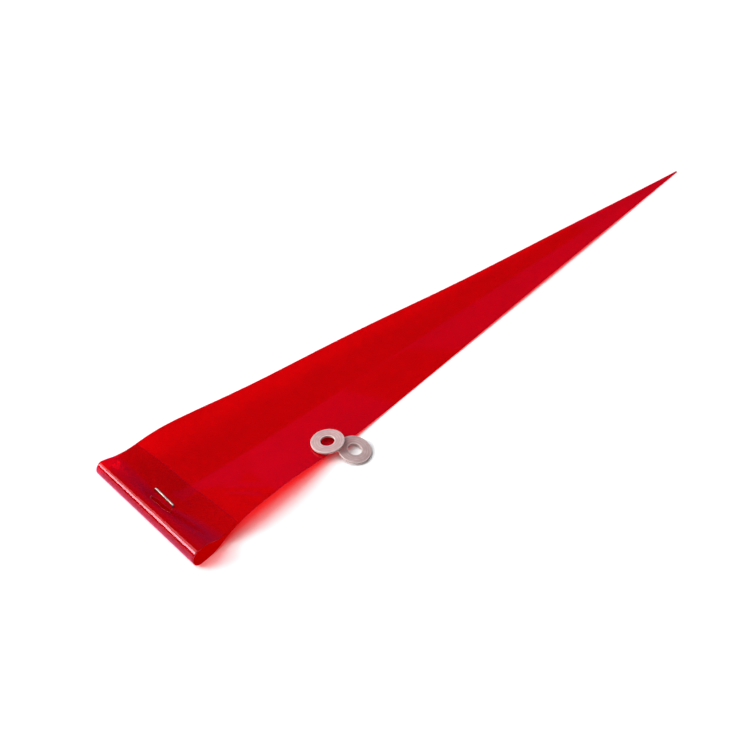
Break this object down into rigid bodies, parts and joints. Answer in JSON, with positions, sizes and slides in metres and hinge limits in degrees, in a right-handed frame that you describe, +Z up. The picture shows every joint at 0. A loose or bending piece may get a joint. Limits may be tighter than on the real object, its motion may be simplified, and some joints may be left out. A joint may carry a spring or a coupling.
{
  "type": "wind pennant",
  "caption": "Long tapering pennant of translucent red film with a stapled rod sleeve at its wide end, lying beside its two loose flat nylon washers.",
  "frame": {"origin": "on the surface that the pennant lies on, below the middle of the whole object's box", "axes": "+X from the rod sleeve to the tip, Y along the sleeve, +Z up from the surface"},
  "size_m": [0.3304, 0.0722, 0.0097],
  "materials": {
    "red_film": "clear red plastic film, smooth and glossy, see-through where it is one layer",
    "staple_steel": "bright galvanised staple wire",
    "natural_nylon": "natural milky nylon, slightly see-through"
  },
  "bodies": {
    "pennant": {"pennant_film": "red_film", "staple": "staple_steel"},
    "lower_washer": {"lower_washer": "natural_nylon"},
    "upper_washer": {"upper_washer": "natural_nylon"}
  },
  "joints": [
    {"name": "lower_washer_lift", "type": "slide", "parent": "pennant", "child": "lower_washer", "axis": [0, 0, 1], "range_m": [0, 0.03]},
    {"name": "upper_washer_lift", "type": "slide", "parent": "lower_washer", "child": "upper_washer", "axis": [0, 0, 1], "range_m": [0, 0.03]}
  ]
}
